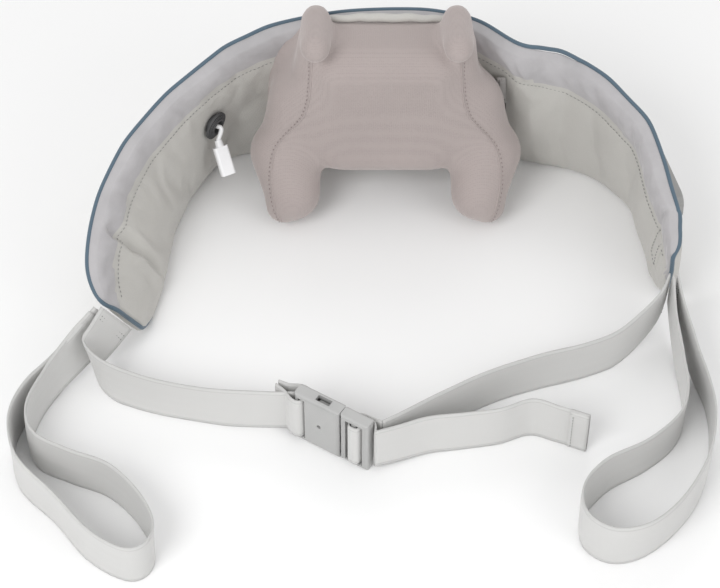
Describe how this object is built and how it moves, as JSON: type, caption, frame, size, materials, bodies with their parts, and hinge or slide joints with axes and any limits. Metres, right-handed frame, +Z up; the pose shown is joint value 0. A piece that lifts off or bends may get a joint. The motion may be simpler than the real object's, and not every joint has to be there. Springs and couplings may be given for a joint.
{
  "type": "shiatsu neck massager",
  "caption": "Padded C-shaped neck shawl with a fabric-covered kneading unit, hand loops at both tips and a buckled waist strap.",
  "frame": {"origin": "middle of the flat strip that the shawl's back stands on, on the floor", "axes": "+Z up, massage heads point along -Y, +X to the right as seen from in front of the heads"},
  "size_m": [0.4788, 0.4123, 0.1684],
  "materials": {
    "shawl_leather": "soft matte leatherette, light warm grey",
    "edge_fabric": "brushed lilac-grey fabric",
    "piping_cord": "slate-blue piping",
    "foam": "soft foam",
    "webbing": "flat polyester webbing, light grey",
    "buckle_plastic": "moulded acetal, light grey",
    "inner_plastic": "moulded nylon, dark grey",
    "steel": "plain steel",
    "end_cap_plastic": "moulded nylon, black",
    "bronze": "sintered bronze",
    "gear_plastic": "natural acetal",
    "head_rubber": "soft silicone",
    "cover_mesh": "matte mauve-grey stretch mesh",
    "cell_wrap": "shrink wrap",
    "board": "solder mask",
    "grommet_rubber": "dark grey rubber",
    "white_plastic": "white moulded plastic",
    "socket_metal": "plated steel",
    "pod_plastic": "moulded plastic, mid grey",
    "button_plastic": "moulded plastic, light grey",
    "zip_fabric": "woven zip tape",
    "zip_metal": "dark nickel"
  },
  "bodies": {
    "root": {"outer_panel": "shawl_leather", "inner_panel": "shawl_leather", "edge_band": "edge_fabric", "piping": "piping_cord", "shawl_foam": "foam", "left_hand_loop": "webbing", "right_hand_loop": "webbing", "left_waist_strap": "webbing", "right_waist_strap": "webbing", "buckle_socket": "buckle_plastic", "back_plate": "inner_plastic", "gearbox_rear_shell": "inner_plastic", "gearbox_front_shell": "inner_plastic", "gearbox_screws": "steel", "pivot_pins": "steel", "motor_can": "steel", "pod_screws": "steel", "motor_end_cap": "end_cap_plastic", "worm_bearing": "bronze", "axle_bushes": "bronze", "centre_cover": "cover_mesh", "battery_cell": "cell_wrap", "control_board": "board", "cable_grommet": "grommet_rubber", "charging_cable": "white_plastic", "connector_shell": "white_plastic", "connector_socket": "socket_metal", "pod_base": "pod_plastic", "pod_cover": "pod_plastic", "zip_tape": "zip_fabric", "zip_coil": "zip_fabric"},
    "rotor": {"motor_rotor": "steel", "drive_worm": "steel"},
    "wheel": {"worm_wheel": "gear_plastic", "wheel_axle": "steel", "crank_pin": "steel"},
    "left_arm": {"left_arm": "inner_plastic", "left_arm_bush": "bronze", "left_upper_finger": "head_rubber", "left_upper_finger_sleeve": "cover_mesh", "left_lower_paw": "head_rubber", "left_lower_paw_sleeve": "cover_mesh"},
    "right_arm": {"right_arm": "inner_plastic", "right_arm_bush": "bronze", "right_upper_finger": "head_rubber", "right_upper_finger_sleeve": "cover_mesh", "right_lower_paw": "head_rubber", "right_lower_paw_sleeve": "cover_mesh"},
    "buckle_plug": {"buckle_plug": "buckle_plastic", "strap_tail": "webbing"},
    "zip_slider": {"zip_slider": "zip_metal"},
    "zip_pull": {"zip_pull": "zip_metal"},
    "power_button": {"power_button": "button_plastic"},
    "mode_button": {"mode_button": "button_plastic"},
    "heat_button": {"heat_button": "button_plastic"}
  },
  "joints": [
    {"name": "wheel_spin", "type": "hinge", "parent": "root", "child": "wheel", "pos_m": [0, -0.026, 0.099], "axis": [0, 1, 0], "continuous": true},
    {"name": "rotor_spin", "type": "hinge", "parent": "root", "child": "rotor", "pos_m": [0, -0.026, 0.122], "axis": [1, 0, 0], "continuous": true},
    {"name": "left_arm_knead", "type": "hinge", "parent": "root", "child": "left_arm", "pos_m": [-0.052, -0.034, 0.099], "axis": [0, 1, 0], "range_deg": [-4, 4]},
    {"name": "right_arm_knead", "type": "hinge", "parent": "root", "child": "right_arm", "pos_m": [0.052, -0.034, 0.099], "axis": [0, 1, 0], "range_deg": [-4, 4]},
    {"name": "buckle_release", "type": "slide", "parent": "root", "child": "buckle_plug", "axis": [0.8449, -0.5349, 0], "range_m": [0, 0.026]},
    {"name": "zip_slide", "type": "slide", "parent": "root", "child": "zip_slider", "axis": [-0.0597, -0.1314, 0.9895], "range_m": [0, 0.034]},
    {"name": "zip_pull_swing", "type": "hinge", "parent": "zip_slider", "child": "zip_pull", "pos_m": [0.08626, -0.01948, 0.06801], "axis": [0.9957, -0.0781, 0.0497], "range_deg": [0, 50]},
    {"name": "power_button_press", "type": "slide", "parent": "root", "child": "power_button", "axis": [-0.9682, -0.2425, -0.0612], "range_m": [0, 0.0008], "stiffness_N_per_m": 400},
    {"name": "mode_button_press", "type": "slide", "parent": "root", "child": "mode_button", "axis": [-0.9682, -0.2425, -0.0612], "range_m": [0, 0.0008], "stiffness_N_per_m": 400},
    {"name": "heat_button_press", "type": "slide", "parent": "root", "child": "heat_button", "axis": [-0.9682, -0.2425, -0.0612], "range_m": [0, 0.0008], "stiffness_N_per_m": 400}
  ],
  "couplings": [
    {"joint": "wheel_spin", "follows": "rotor_spin", "ratio": -0.027778},
    {"joint": "right_arm_knead", "follows": "left_arm_knead", "ratio": -1}
  ]
}
